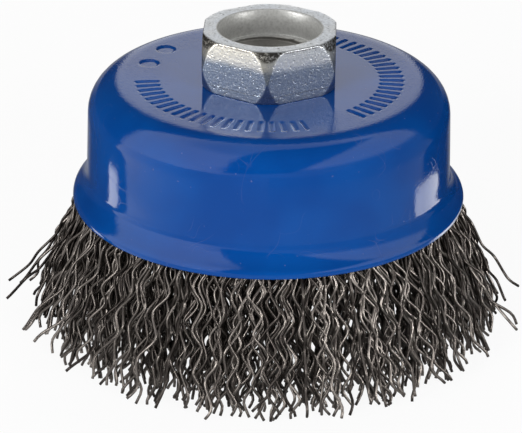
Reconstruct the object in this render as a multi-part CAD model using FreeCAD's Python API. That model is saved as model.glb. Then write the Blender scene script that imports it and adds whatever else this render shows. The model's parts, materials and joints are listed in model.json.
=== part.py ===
import FreeCAD, Part
import math
import os
import random

# Crimped wire cup brush, standing on its wire tips: a pressed and painted steel cup, a hexagonal
# arbor nut riveted through it, a retaining cup and a ring that hold the wire inside, and the wire,
# in hairpins hooked over that ring. Millimetres, +Z up, origin on the axis at the plane of the tips.

# Driving sizes of the outer cup
trim_h = 22.0  # wire that shows below the cup's rim
cup_h = 21.1  # rim to flat top
cup_wall = 1.3  # thickness of the sheet
wall_r = 31.0
shoulder_rounding = 5.6
shoulder_bands = 5  # narrow cones that make up the rounding
inner_bands = 2  # the same inside, out of sight
lip_out = 2.75  # how far the lip stands out from the wall
lip_h = 1.1  # upright part of the lip
lip_slope_h = 2.7  # rise of the slope between the lip and the wall

# Driving sizes of the arbor nut, for a 5/8-11 UNC spindle
thread_r = 6.75  # tapping size
recess_step = 1.95  # from the thread out to the plain counterbore that clears the spindle's shoulder
nut_wall = 2.4  # from the counterbore out to the hexagon's flats
nut_h = 9.1  # above the cup
corner_turned = 0.8  # taken off the radius of the hexagon's corners at both ends
top_turned_h = 5.6  # how far down the corners the upper cone reaches
foot_turned_h = 4.2  # how far up the corners the lower cone reaches
end_bevel = 0.5
recess_depth = 4.5
recess_bevel = 0.45
neck_wall = 2.85  # from the thread out to the neck's side, where it passes through both cups
collar_out = 2.0  # how far the neck's end is spread over the retaining cup
collar_h = 1.8

# Driving sizes of the retaining cup and the ring
fold_gap = 1.12  # between the cup's wall and the wire where it goes over the ring
keeper_h = 10.5
keeper_wall = 1.2
ring_w = 2.4
ring_h = 2.6

# Driving sizes of the wire. One hairpin stands for a lock of real wires 0.5 mm thick that lie side
# by side. It has three sides, with a flat one to the ring, and it fans out as it leaves the cup.
groups = 24
hairpins_in_group = 3
lock_w = 1.25  # width at the ring's outer side
lock_depth = 1.0
flare_out = 5.05  # how far the outermost row of tips stands out from the lip
trim_w = 11.5  # outermost to innermost row of tips
crimp_pitch = 6.3  # one whole wave
crimp_depth = 1.9  # crest to trough, where there is room
hidden_crimp_pitch = 22.0  # coarser in the inner legs, which show only their tips
crimp_turn = 30.0  # largest turn of a crimp's plane from the ring's tangent, in degrees
ragged_h = 1.4  # how unevenly the tips are cut
# How far the tips of the bent locks stand beyond the outermost row, by the hairpin's number,
# counted from the +X side, anticlockwise from above
stray_reach = {
    0: 5.4, 5: 4.5, 10: 3.0, 14: 4.5, 17: 2.5, 20: 4.5, 27: 4.0, 31: 4.5, 35: 4.0, 36: 5.9, 38: 5.5,
    40: 4.5, 42: 6.5, 43: 6.0, 45: 6.5, 46: 4.0, 48: 5.0, 49: 3.5, 53: 2.5, 57: 3.5, 61: 2.5, 68: 6.0,
}
shuffle = 7  # seed of the uneven lengths and crimps

# Clearance between pieces that are pressed or packed together
slip = 0.06

# Levels and radii that follow
rim_z = trim_h
lip_top_z = rim_z + lip_h
slope_top_z = lip_top_z + lip_slope_h
cup_top_z = rim_z + cup_h
cup_under_z = cup_top_z - cup_wall
keeper_under_z = cup_under_z - keeper_wall
keeper_rim_z = cup_under_z - keeper_h
nut_top_z = cup_top_z + nut_h
neck_foot_z = keeper_under_z - collar_h
recess_r = thread_r + recess_step
across_flats = 2 * (recess_r + nut_wall)
neck_r = thread_r + neck_wall
collar_r = neck_r + collar_out
hole_r = neck_r + slip
inner_wall_r = wall_r - cup_wall
outer_leg_r = inner_wall_r - fold_gap - lock_depth
ring_outer_r = outer_leg_r - slip
ring_inner_r = ring_outer_r - ring_w
inner_leg_r = ring_inner_r - slip
keeper_r = inner_leg_r - lock_depth - slip
lip_r = wall_r + lip_out
face_r = lip_r + flare_out
hairpins = groups * hairpins_in_group


def rounded(line, bands):
    """The given (r, z, rounding) corners with each rounding made up of straight bands, as (r, z)."""
    points = []
    for i, (r, z, rounding) in enumerate(line):
        if rounding == 0:
            points.append((r, z))
            continue
        corner = FreeCAD.Vector(r, 0, z)
        back = (FreeCAD.Vector(line[i - 1][0], 0, line[i - 1][1]) - corner).normalize()
        ahead = (FreeCAD.Vector(line[i + 1][0], 0, line[i + 1][1]) - corner).normalize()
        half_angle = back.getAngle(ahead) / 2
        centre = corner + (back + ahead).normalize() * (rounding / math.sin(half_angle))
        start = corner + back * (rounding / math.tan(half_angle)) - centre
        end = corner + ahead * (rounding / math.tan(half_angle)) - centre
        sweep = start.getAngle(end)
        for k in range(bands + 1):
            share = k / bands
            spoke = start * math.sin((1 - share) * sweep) + end * math.sin(share * sweep)
            point = centre + spoke * (1 / math.sin(sweep))
            points.append((point.x, point.z))
    return points


def turned(points):
    """Solid of revolution about Z with a closed section through (r, z) points."""
    corners = [FreeCAD.Vector(r, 0, z) for r, z in points]
    section = Part.Face(Part.makePolygon(corners + corners[:1]))
    return section.revolve(FreeCAD.Vector(0, 0, 0), FreeCAD.Vector(0, 0, 1), 360)


def set_in(line, wall):
    """The (r, z, rounding) corners of a line that runs at a distance of wall inside the given one.

    The line runs outwards and down, so its inside is on its right.
    """
    steps = [(b[0] - a[0], b[1] - a[1]) for a, b in zip(line, line[1:])]
    normals = [(z / math.hypot(r, z), -r / math.hypot(r, z)) for r, z in steps]
    inside = []
    for i, (r, z, rounding) in enumerate(line):
        first = normals[max(i - 1, 0)]
        second = normals[min(i, len(normals) - 1)]
        share = wall / (1 + first[0] * second[0] + first[1] * second[1])
        corner_r = r + share * (first[0] + second[0])
        corner_z = z + share * (first[1] + second[1])
        inside.append((corner_r, corner_z, max(rounding - wall, 0)))
    return inside


def pressed_shell(line, wall):
    """Sheet pressed to the outer line, of even thickness."""
    return turned(rounded(line, shoulder_bands) + rounded(set_in(line, wall), inner_bands)[::-1])


def outer_cup():
    """Bell with a flat top, a rounded shoulder, an upright wall and a flared lip."""
    line = [
        (hole_r, cup_top_z, 0),
        (wall_r, cup_top_z, shoulder_rounding),
        (wall_r, slope_top_z, 0),
        (lip_r, lip_top_z, 0),
        (lip_r, rim_z, 0),
    ]
    return pressed_shell(line, cup_wall)


def retaining_cup():
    """Smaller inverted cup that clamps the wire from within."""
    line = [
        (hole_r, cup_under_z, 0),
        (keeper_r, cup_under_z, 0),
        (keeper_r, keeper_rim_z, 0),
    ]
    return pressed_shell(line, keeper_wall)


def arbor_nut():
    """Hexagon with turned corners on a neck that is spread below both cups, bored right through."""
    corner_r = across_flats / 2 / math.cos(math.radians(30))
    end_r = corner_r - corner_turned
    top_slope = corner_turned / top_turned_h
    foot_slope = corner_turned / foot_turned_h
    waist_z = cup_top_z + nut_h * top_slope / (top_slope + foot_slope)
    waist_r = end_r + foot_slope * (waist_z - cup_top_z)
    corners = [math.radians(30 + 60 * k) for k in range(7)]
    outline = [FreeCAD.Vector(corner_r * math.cos(a), corner_r * math.sin(a), cup_top_z) for a in corners]
    hexagon = Part.Face(Part.makePolygon(outline)).extrude(FreeCAD.Vector(0, 0, nut_h))
    blank = turned([
        (0, cup_top_z),
        (end_r - end_bevel, cup_top_z),
        (end_r + foot_slope * end_bevel, cup_top_z + end_bevel),
        (waist_r, waist_z),
        (end_r + top_slope * end_bevel, nut_top_z - end_bevel),
        (end_r - end_bevel, nut_top_z),
        (0, nut_top_z),
    ])
    neck = turned([
        (0, neck_foot_z),
        (collar_r, neck_foot_z),
        (collar_r, keeper_under_z),
        (neck_r, keeper_under_z),
        (neck_r, cup_top_z),
        (0, cup_top_z),
    ])
    past = 1
    bore = turned([
        (0, nut_top_z + past),
        (recess_r + recess_bevel + past, nut_top_z + past),
        (recess_r, nut_top_z - recess_bevel),
        (recess_r, nut_top_z - recess_depth),
        (thread_r, nut_top_z - recess_depth),
        (thread_r, neck_foot_z - past),
        (0, neck_foot_z - past),
    ])
    return hexagon.common(blank).fuse(neck).cut(bore).removeSplitter()


def ring_top_level():
    """Height at which the hairpins' folds just fit under the cup's shoulder."""
    rounding = max(shoulder_rounding - cup_wall, 0)
    clear = rounding * math.cos(math.radians(45 / inner_bands)) - slip
    fold_side = outer_leg_r + lock_depth - (inner_wall_r - rounding)
    drop = 0
    if fold_side > 0:
        drop = rounding - math.sqrt(max(clear ** 2 - fold_side ** 2, 0))
    return cup_under_z - drop - lock_depth - slip


def holding_ring():
    """Flat ring that the wire is folded over."""
    top_z = ring_top_level() - slip
    return turned([
        (ring_inner_r, top_z - ring_h),
        (ring_inner_r, top_z),
        (ring_outer_r, top_z),
        (ring_outer_r, top_z - ring_h),
    ])


def fanned(r):
    """Width of a lock where it is r away from the axis."""
    return lock_w * r / outer_leg_r


def crimped_leg(start, tip, pitch, chance):
    """Stations (r, across, z) of a leg that zigzags from its start to its tip, both (r, z).

    The waves start at a random point of a wave and lie in a plane that is turned a little from the
    ring's tangent. They are only as deep as the neighbouring legs leave room for.
    """
    side = chance.choice((-1, 1))
    turn = math.radians(crimp_turn) * (2 * chance.random() - 1)
    first_z = start[1] - chance.uniform(0.3, 1) * pitch / 2
    bends = max(1, round((first_z - tip[1]) / (pitch / 2)))
    stations = [(start[0], 0, start[1])]
    for k in range(bends + 1):
        z = first_z + (tip[1] - first_z) * k / bends
        r = start[0] + (tip[0] - start[0]) * (start[1] - z) / (start[1] - tip[1])
        room = 2 * math.pi * r / hairpins - fanned(r) - slip
        swing = max(0, min(crimp_depth, room)) / 2
        stations.append((r + side * swing * math.sin(turn), side * swing * math.cos(turn), z))
        side = -side
    return stations


def wire_hairpin(number, chance):
    """One hairpin in the plane y = 0: up from its inner tip, over the ring, down to its outer tip."""
    fold_z = ring_top_level()
    longest = number % hairpins_in_group == 1
    outer_tip_z = 0 if longest else ragged_h * chance.random()
    outer_tip_r = face_r + stray_reach.get(number, 0)
    inner_tip_r = face_r - trim_w if number % 2 else face_r - trim_w / 2

    # The outer leg leans to the wall's foot, and flares from the top of the lip
    throat_r = (inner_wall_r - slip) / (1 + lock_depth / outer_leg_r)
    lean = (throat_r - outer_leg_r) / (fold_z - slope_top_z)
    flare_start = (outer_leg_r + lean * (fold_z - lip_top_z), lip_top_z)
    outer = crimped_leg(flare_start, (outer_tip_r, outer_tip_z), crimp_pitch, chance)
    inner_tip = (inner_tip_r, ragged_h * chance.random())
    inner = crimped_leg((inner_leg_r, keeper_rim_z), inner_tip, hidden_crimp_pitch, chance)

    stations = [(station, (-lock_depth, 0)) for station in inner[::-1]]
    stations.append(((inner_leg_r, 0, fold_z), (-lock_depth, lock_depth)))
    stations.append(((outer_leg_r, 0, fold_z), (lock_depth, lock_depth)))
    stations += [(station, (lock_depth, 0)) for station in outer]
    return three_sided_wire(stations)


def three_sided_wire(stations):
    """Solid through stations, each the middle (r, across, z) of its flat side and its ridge's (r, z) offset."""
    sections = []
    for (r, across, z), (ridge_r, ridge_z) in stations:
        half_width = fanned(r) / 2
        growth = fanned(r) / lock_w
        sections.append([
            FreeCAD.Vector(r, across - half_width, z),
            FreeCAD.Vector(r, across + half_width, z),
            FreeCAD.Vector(r + growth * ridge_r, across, z + growth * ridge_z),
        ])
    faces = [Part.Face(Part.makePolygon(end + end[:1])) for end in (sections[0], sections[-1])]
    for section, following in zip(sections, sections[1:]):
        for i in range(3):
            j = (i + 1) % 3
            faces += side_faces(section[i], section[j], following[j], following[i])
    solid = Part.Solid(Part.Shell(faces))
    if solid.Volume < 0:
        solid.reverse()
    return solid


def side_faces(a, b, c, d):
    """The side with corners a, b, c, d: one face where it is flat, else two triangles."""
    normal = (b - a).cross(c - a).normalize()
    flat = abs(normal.dot(d - a)) < 1e-7
    outlines = [[a, b, c, d, a]] if flat else [[a, b, c, a], [a, c, d, a]]
    return [Part.Face(Part.makePolygon(outline)) for outline in outlines]


def wire_group(group, chance):
    """Neighbouring hairpins, each turned to its own place round the ring."""
    placed = []
    for k in range(hairpins_in_group):
        number = group * hairpins_in_group + k
        hairpin = wire_hairpin(number, chance)
        hairpin.rotate(FreeCAD.Vector(0, 0, 0), FreeCAD.Vector(0, 0, 1), 360 * (number + 0.5) / hairpins)
        placed.append(hairpin)
    return Part.makeCompound(placed)


def build():
    """All pieces by the names of their nodes."""
    pieces = {
        "outer_cup": outer_cup(),
        "arbor_nut": arbor_nut(),
        "retaining_cup": retaining_cup(),
        "holding_ring": holding_ring(),
    }
    chance = random.Random(shuffle)
    for group in range(groups):
        pieces["wire_group_%02d" % (group + 1)] = wire_group(group, chance)
    return pieces


os.makedirs("parts", exist_ok=True)
for name, shape in build().items():
    shape.exportStep(os.path.join("parts", name + ".step"))
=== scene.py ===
"""Dresses the wire cup brush in its studio: enamelled cup, plated arbor nut, and crimped steel wire.

Lengths are millimetres unless a name says otherwise, and meshes become metres when they are built.
Azimuths are degrees from the +X side, anticlockwise from above.
"""

from __future__ import annotations

import enum
import json
import logging
import math
from collections.abc import Mapping, Sequence
from dataclasses import dataclass
from typing import Any

import bpy
import numpy as np
from mathutils import Matrix, Vector

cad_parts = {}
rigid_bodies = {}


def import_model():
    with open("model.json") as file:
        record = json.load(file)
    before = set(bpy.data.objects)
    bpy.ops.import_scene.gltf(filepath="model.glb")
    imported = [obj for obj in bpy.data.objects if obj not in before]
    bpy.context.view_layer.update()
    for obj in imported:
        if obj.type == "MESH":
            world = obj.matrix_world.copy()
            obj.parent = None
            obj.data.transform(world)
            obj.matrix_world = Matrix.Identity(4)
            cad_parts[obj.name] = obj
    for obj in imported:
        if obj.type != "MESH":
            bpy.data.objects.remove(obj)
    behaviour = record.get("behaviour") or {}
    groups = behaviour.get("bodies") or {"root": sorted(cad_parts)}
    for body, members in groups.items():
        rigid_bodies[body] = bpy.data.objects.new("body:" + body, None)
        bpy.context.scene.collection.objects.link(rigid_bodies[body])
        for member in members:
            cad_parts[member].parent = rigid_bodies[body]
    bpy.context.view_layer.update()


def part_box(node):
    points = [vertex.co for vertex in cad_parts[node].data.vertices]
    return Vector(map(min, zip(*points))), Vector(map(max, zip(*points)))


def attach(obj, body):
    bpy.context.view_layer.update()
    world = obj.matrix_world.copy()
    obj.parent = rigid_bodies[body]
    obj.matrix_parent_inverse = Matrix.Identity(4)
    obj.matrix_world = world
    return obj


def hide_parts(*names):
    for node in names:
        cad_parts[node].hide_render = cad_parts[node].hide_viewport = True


Colour = tuple[float, float, float]
Profile = tuple[tuple[float, float], ...]

MM = 0.001
FULL_TURN = 2 * math.pi
DEGREES = 180 / math.pi
WHITE = (1.0, 1.0, 1.0, 1.0)

# Name of the mesh attribute that holds each wire's tone
TONE = "tone"

# Tips of the wires that stand out beyond the rest, as azimuth and distance from the axis
STRAY_TIPS = {
    2.5: 44.6, 27.5: 43.0, 52.5: 41.8, 72.5: 43.2, 87.5: 43.3, 102.5: 43.8,
    137.5: 42.8, 157.5: 43.2, 177.5: 42.8, 180.4: 45.6, -168.6: 45.8, 175.4: 44.6,
    -149.6: 47.0, -156.6: 44.3, -141.6: 47.4, -130.6: 47.2, -127.6: 45.9, -117.6: 45.8,
    -111.6: 44.6, -101.6: 42.2, -86.6: 42.3, -72.6: 44.0, -64.6: 42.2, -60.6: 41.6,
    -53.6: 43.2, -43.6: 42.4, -36.6: 42.0, -28.6: 42.8, -24.6: 42.2, -18.6: 45.4,
    -17.4: 45.0, -0.6: 42.2, 14.4: 41.6,
}

log = logging.getLogger("wire_cup_brush")


class Node(enum.Enum):
    """Shader nodes that the finishes and the studio use."""

    ATTRIBUTE = "ShaderNodeAttribute"
    BACKGROUND = "ShaderNodeBackground"
    BUMP = "ShaderNodeBump"
    EMISSION = "ShaderNodeEmission"
    LIGHT_PATH = "ShaderNodeLightPath"
    MAP_RANGE = "ShaderNodeMapRange"
    MATERIAL_OUTPUT = "ShaderNodeOutputMaterial"
    MATHS = "ShaderNodeMath"
    MIX = "ShaderNodeMix"
    MIX_SHADER = "ShaderNodeMixShader"
    NOISE = "ShaderNodeTexNoise"
    PLACE = "ShaderNodeTexCoord"
    PRINCIPLED = "ShaderNodeBsdfPrincipled"
    SEPARATE = "ShaderNodeSeparateXYZ"
    VECTOR = "ShaderNodeVectorMath"
    WORLD_OUTPUT = "ShaderNodeOutputWorld"


class Signal:
    """One output socket of a shader node, with the arithmetic that the finishes need."""

    def __init__(self, graph: Graph, socket: bpy.types.NodeSocket) -> None:
        """Keeps the graph that the socket belongs to."""
        self.graph = graph
        self.socket = socket

    def _maths(self, operation: str, *values: Signal | float) -> Signal:
        """A Math node on the given values, in order."""
        return self.graph.node(Node.MATHS, {"operation": operation}, dict(enumerate(values)))

    def __add__(self, other: Signal | float) -> Signal:
        """This plus the other."""
        return self._maths("ADD", self, other)

    def __radd__(self, other: float) -> Signal:
        """The other plus this."""
        return self._maths("ADD", other, self)

    def __sub__(self, other: Signal | float) -> Signal:
        """This less the other."""
        return self._maths("SUBTRACT", self, other)

    def __rsub__(self, other: float) -> Signal:
        """The other less this."""
        return self._maths("SUBTRACT", other, self)

    def __mul__(self, other: Signal | float) -> Signal:
        """This times the other."""
        return self._maths("MULTIPLY", self, other)

    def __rmul__(self, other: float) -> Signal:
        """The other times this."""
        return self._maths("MULTIPLY", other, self)

    def __truediv__(self, other: Signal | float) -> Signal:
        """This divided by the other."""
        return self._maths("DIVIDE", self, other)

    def __pow__(self, power: float) -> Signal:
        """This raised to a power."""
        return self._maths("POWER", self, power)

    def __abs__(self) -> Signal:
        """This without its sign."""
        return self._maths("ABSOLUTE", self)

    def cosine(self) -> Signal:
        """Its cosine, taken as radians."""
        return self._maths("COSINE", self)

    def at_most(self, limit: float) -> Signal:
        """This, or the limit where that is less."""
        return self._maths("MINIMUM", self, limit)

    def ramp(self, low: float, high: float) -> Signal:
        """A smooth step.

        Args:
            low: Value at which the step starts.
            high: Value at which the step ends. It may be the lower of the two.

        Returns:
            0 on the low side and 1 on the high side.
        """
        return self.graph.node(
            Node.MAP_RANGE,
            {"interpolation_type": "SMOOTHSTEP", "clamp": True},
            {"Value": self, "From Min": low, "From Max": high, "To Min": 0.0, "To Max": 1.0},
        )

    def within(self, low: float, high: float, soft: float) -> Signal:
        """1 between two values and 0 outside them, with an edge that reaches a soft width to each side."""
        return self.ramp(low - soft, low + soft) * self.ramp(high + soft, high - soft)


class Graph:
    """The node tree of a material or of the world."""

    def __init__(self, tree: bpy.types.NodeTree) -> None:
        """Empties the tree."""
        self.tree = tree
        tree.nodes.clear()

    def node(
        self,
        kind: Node,
        settings: Mapping[str, Any] | None = None,
        sockets: Mapping[str | int, Any] | None = None,
        out: str | int = 0,
    ) -> Signal:
        """Adds a node.

        Args:
            kind: Type of the node.
            settings: The node's own settings, which are set first.
            sockets: Values or links of its input sockets, by name or number.
            out: The output that is wanted.

        Returns:
            The wanted output.
        """
        made = self.tree.nodes.new(kind.value)
        for name, value in (settings or {}).items():
            setattr(made, name, value)
        for name, value in (sockets or {}).items():
            if isinstance(value, Signal):
                self.tree.links.new(value.socket, made.inputs[name])
            else:
                made.inputs[name].default_value = value
        return Signal(self, made.outputs[out])

    def finish(self, kind: Node, shader: Signal) -> None:
        """Links a shader to a new output node of the given kind."""
        output = self.tree.nodes.new(kind.value)
        self.tree.links.new(shader.socket, output.inputs["Surface"])

    def surface(self, sockets: Mapping[str, Any]) -> None:
        """Finishes a material with a Principled shader that has the given sockets."""
        self.finish(Node.MATERIAL_OUTPUT, self.node(Node.PRINCIPLED, sockets=sockets))

    def mixed(self, share: Signal, first: Signal, second: Signal) -> Signal:
        """A blend of two shaders, with the share of the second."""
        return self.node(Node.MIX_SHADER, sockets={0: share, 1: first, 2: second})

    def glow(self, kind: Node, brightness: Signal, brightest: float = 4.0) -> Signal:
        """A grey light of varying brightness.

        Args:
            kind: The node that gives the light.
            brightness: How bright it is, where 1 is white.
            brightest: The most that it can be.

        Returns:
            The light's shader.
        """
        grey = self.colour(brightness / brightest, (0, 0, 0), (1, 1, 1))
        return self.node(kind, sockets={"Color": grey, "Strength": brightest})

    def place(self) -> Signal:
        """The point on the object, in millimetres."""
        metres = self.node(Node.PLACE, out="Object")
        return self.scaled(metres, (1 / MM, 1 / MM, 1 / MM))

    def scaled(self, vector: Signal, factors: Sequence[float]) -> Signal:
        """A vector with each part multiplied by its own factor."""
        return self.node(Node.VECTOR, {"operation": "MULTIPLY"}, {0: vector, 1: tuple(factors)})

    def parts(self, vector: Signal) -> tuple[Signal, Signal, Signal]:
        """The X, Y and Z parts of a vector."""
        split = self.node(Node.SEPARATE, sockets={0: vector}).socket.node
        x, y, z = (Signal(self, output) for output in split.outputs)
        return x, y, z

    def turned_place(self) -> tuple[Signal, Signal, Signal]:
        """The point on a turned piece.

        Returns:
            Its distance from the axis, its azimuth in radians, and its height.
        """
        x, y, z = self.parts(self.place())
        radius = (x * x + y * y) ** 0.5
        azimuth = self.node(Node.MATHS, {"operation": "ARCTAN2"}, {0: y, 1: x})
        return radius, azimuth, z

    def noise(self, where: Signal, size: float, detail: float = 2.0) -> Signal:
        """Soft noise.

        Args:
            where: Point, in millimetres.
            size: Width of a blotch, in millimetres.
            detail: How many finer layers are added.

        Returns:
            Values about 0.5.
        """
        sockets = {"Vector": where, "Scale": 1 / size, "Detail": detail, "Roughness": 0.5}
        return self.node(Node.NOISE, {"noise_dimensions": "3D"}, sockets)

    def colour(self, share: Signal, first: Signal | Colour, second: Signal | Colour) -> Signal:
        """A blend of two colours.

        Args:
            share: How much of the second, from 0 to 1.
            first: The colour at share 0.
            second: The colour at share 1.

        Returns:
            The blended colour.
        """
        ends = [end if isinstance(end, Signal) else (*end, 1.0) for end in (first, second)]
        return self.node(Node.MIX, {"data_type": "RGBA"}, {0: share, 6: ends[0], 7: ends[1]}, out=2)

    def bump(self, height: Signal) -> Signal:
        """A normal from a height in millimetres."""
        sockets = {"Strength": 1.0, "Distance": MM, "Height": height}
        return self.node(Node.BUMP, sockets=sockets, out="Normal")


def new_material(name: str) -> tuple[bpy.types.Material, Graph]:
    """An empty node material and its graph."""
    material = bpy.data.materials.new(name)
    material.use_nodes = True
    return material, Graph(material.node_tree)


@dataclass(frozen=True)
class BlueEnamel:
    """Glossy blue stoving enamel on pressed steel.

    It has dust specks and fine curved scratches, a slightly rougher top, and a painted highlight along the
    lip's lower edge on one side.
    """

    rim_z: float
    top_z: float
    deep: Colour = (0.000, 0.042, 0.218)
    pale: Colour = (0.000, 0.056, 0.262)
    speck: Colour = (0.10, 0.12, 0.28)
    edge_highlight: Colour = (0.62, 0.68, 0.82)
    gloss: float = 0.055
    cloud_size: float = 14.0
    peel_size: float = 0.8
    grain_size: float = 0.35
    speck_size: float = 0.5
    wear_size: float = 9.0
    scratch_sizes: tuple[float, float] = (7.0, 4.0)
    top_band_r: tuple[float, float] = (16.0, 20.0)
    highlight_h: float = 0.85
    highlight_soft: float = 0.07
    highlight_r: tuple[float, float] = (32.4, 32.8)
    highlight_from: tuple[float, float] = (-37.0, -28.0)
    highlight_to: tuple[float, float] = (-3.0, -10.0)

    def scratches(self, graph: Graph, place: Signal) -> Signal:
        """Fine curved scratches, gathered in a few patches."""
        wide, close = self.scratch_sizes
        lines = 1 - abs(graph.noise(place, wide, 0.0) - 0.5).ramp(0.0, 0.006)
        lines = lines + (1 - abs(graph.noise(place, close, 0.0) - 0.47).ramp(0.0, 0.009))
        return lines * graph.noise(place, self.wear_size, 1.0).ramp(0.56, 0.66)

    def painted_lip_highlight(self, grain: Signal, turn: Signal, radius: Signal, height: Signal) -> Signal:
        """The painted highlight along the lip's lower edge on one side, by azimuth in degrees."""
        edge = self.rim_z + self.highlight_h
        stretch = turn.ramp(*self.highlight_from) * turn.ramp(*self.highlight_to)
        low = (height + grain * 0.2).ramp(edge + self.highlight_soft, edge - self.highlight_soft)
        return stretch * low * radius.ramp(*self.highlight_r)

    def make(self) -> bpy.types.Material:
        """The finish as a material."""
        material, graph = new_material("blue_enamel")
        place = graph.place()
        radius, azimuth, height = graph.turned_place()
        cloud = graph.noise(place, self.cloud_size)
        peel = graph.noise(place, self.peel_size)
        grain = graph.noise(place, self.grain_size, 1.0)
        specks = graph.noise(place, self.speck_size, 0.0).ramp(0.83, 0.88)
        scratches = self.scratches(graph, place)
        top_band = radius.ramp(*self.top_band_r) * height.ramp(self.top_z - 0.7, self.top_z - 0.2)
        # Painted highlight: a pale line along the lip's lower edge on one side
        lip_highlight = self.painted_lip_highlight(grain, azimuth * DEGREES, radius, height)
        colour = graph.colour(cloud.ramp(0.3, 0.7), self.deep, self.pale)
        colour = graph.colour(specks * 0.5, colour, self.speck)
        colour = graph.colour(scratches * 0.2, colour, self.speck)
        colour = graph.colour(lip_highlight, colour, self.edge_highlight)
        relief = peel * 0.012 + grain * (top_band * 0.026 + 0.004) + specks * 0.012 - scratches * 0.006
        graph.surface({
            "Base Color": colour,
            "Roughness": self.gloss + peel * 0.03 + scratches * 0.15 + specks * 0.2 + top_band * 0.03,
            "Coat Weight": 0.12,
            "Coat Roughness": 0.04,
            "Normal": graph.bump(relief),
        })
        return material


@dataclass(frozen=True)
class ZincPlate:
    """Satin zinc plating with a fine speckle, with painted warm light on one side, a painted blue
    reflection low on the flats, painted glints, and painted shade in the thread and where the corners are
    turned.
    """

    top_z: float
    recess_depth: float
    cool: Colour = (0.78, 0.82, 0.87)
    # Painted light: the warm colour of the lit left side
    warm: Colour = (0.97, 0.92, 0.80)
    # Painted reflection of the cup's blue, low on the flats
    lower: Colour = (0.29, 0.345, 0.43)
    bored: Colour = (0.62, 0.62, 0.60)
    dull: Colour = (0.20, 0.20, 0.19)
    thread_shade: Colour = (0.16, 0.15, 0.13)
    painted_glint: Colour = (0.92, 0.93, 0.94)
    corner_shade: Colour = (0.075, 0.068, 0.060)
    patch_size: float = 6.0
    speckle_size: float = 0.42
    glint_fleck_size: float = 0.22
    fleck_size: float = 0.38
    pit_size: float = 0.5
    turned_h: float = 1.9
    blue_reflection_depth: tuple[float, float] = (3.3, 1.8)
    warm_light_x: tuple[float, float] = (2.0, -1.0)
    bore_r: float = 9.0
    thread_major_r: float = 8.0
    tool_line_depth: float = 7.65

    def painted_corner_shade(self, graph: Graph, place: Signal, azimuth: Signal, height: Signal) -> Signal:
        """Painted shade, in dark flecks, where the corners are turned off and just under the top's edge.
        """
        up = (height - self.top_z + self.turned_h) / self.turned_h
        off_corner = (azimuth * 6.0).cosine()
        turned = ((up - 1.35) * 0.81 - off_corner).ramp(-0.08, 0.12) * up.ramp(0.0, 0.1)
        under_edge = height.ramp(self.top_z - 0.42, self.top_z - 0.30)
        under_edge = under_edge * height.ramp(self.top_z - 0.02, self.top_z - 0.1)
        flecks = graph.noise(place, self.fleck_size, 2.0).ramp(0.36, 0.52)
        return (turned + under_edge * 0.7).at_most(1.0) * flecks

    def make(self) -> bpy.types.Material:
        """The finish as a material."""
        material, graph = new_material("zinc_plate")
        place = graph.place()
        radius, azimuth, height = graph.turned_place()
        outside = radius.ramp(self.bore_r - 0.05, self.bore_r + 0.1)
        below_top = height.ramp(self.top_z - 0.02, self.top_z - 0.06)
        patches = graph.noise(place, self.patch_size)
        speckle = graph.noise(place, self.speckle_size, 3.0)
        drawn = graph.noise(graph.scaled(place, (0.35, 0.35, 3.0)), 0.8, 2.0)
        pits = graph.noise(place, self.pit_size, 0.0).ramp(0.70, 0.78) * outside
        # Painted glints: bright flecks over the outside, below the top face
        glint_flecks = graph.noise(place, self.glint_fleck_size, 0.0).ramp(0.60, 0.72)
        glint_flecks = glint_flecks * outside * height.ramp(self.top_z, self.top_z - 0.3)
        tool_line = 1 - abs(height - (self.top_z - self.tool_line_depth)).ramp(0.02, 0.09)
        ledge_z = self.top_z - self.recess_depth
        # Painted shade: the thread is darker inside the bore
        in_thread = radius.ramp(self.thread_major_r + 0.4, self.thread_major_r)
        in_thread = in_thread * height.ramp(ledge_z + 0.1, ledge_z - 0.3)
        # Painted reflection: below these depths the flats take the cup's blue
        upper = (height + patches * 1.2).ramp(*(self.top_z - depth for depth in self.blue_reflection_depth))
        # Painted light: the left side turns warm, blended with random patches
        left = graph.parts(place)[0].ramp(*self.warm_light_x) * below_top
        # Painted shade: dark flecks at the turned corners and just under the top's edge
        shaded = self.painted_corner_shade(graph, place, azimuth, height) * below_top * outside
        colour = graph.colour(left * 0.8 + patches.ramp(0.38, 0.62) * 0.2, self.cool, self.warm)
        colour = graph.colour(upper, self.lower, colour)
        colour = graph.colour(1 - outside, colour, self.bored)
        colour = graph.colour(speckle.ramp(0.35, 0.75) * 0.28 + pits * 0.4, colour, self.dull)
        colour = graph.colour(tool_line * 0.8, colour, self.dull)
        colour = graph.colour(glint_flecks * 0.36, colour, self.painted_glint)
        colour = graph.colour(shaded * 0.92, colour, self.corner_shade)
        colour = graph.colour(in_thread * 0.75, colour, self.thread_shade)
        relief = speckle * (0.012 + outside * 0.020) + drawn * 0.012 - pits * 0.02
        graph.surface({
            "Base Color": colour,
            "Metallic": 0.6 + outside * 0.35,
            "Roughness": 0.38 - outside * 0.16 + speckle * (0.10 + outside * 0.08) + pits * 0.12,
            "Normal": graph.bump(relief),
        })
        return material


@dataclass(frozen=True)
class PlainSteel:
    """Bare pressed steel with mill marks and a thin film of oil."""

    bright: Colour = (0.42, 0.41, 0.39)
    stained: Colour = (0.20, 0.17, 0.14)
    stain_size: float = 5.0
    mill_size: float = 0.6

    def make(self) -> bpy.types.Material:
        """The finish as a material."""
        material, graph = new_material("plain_steel")
        place = graph.place()
        stains = graph.noise(place, self.stain_size, 3.0)
        mill = graph.noise(graph.scaled(place, (1.0, 1.0, 6.0)), self.mill_size, 2.0)
        graph.surface({
            "Base Color": graph.colour(stains.ramp(0.35, 0.7), self.bright, self.stained),
            "Metallic": 1.0,
            "Roughness": 0.34 + stains * 0.2 + mill * 0.08,
            "Normal": graph.bump(mill * 0.02 + stains * 0.01),
        })
        return material


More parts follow.
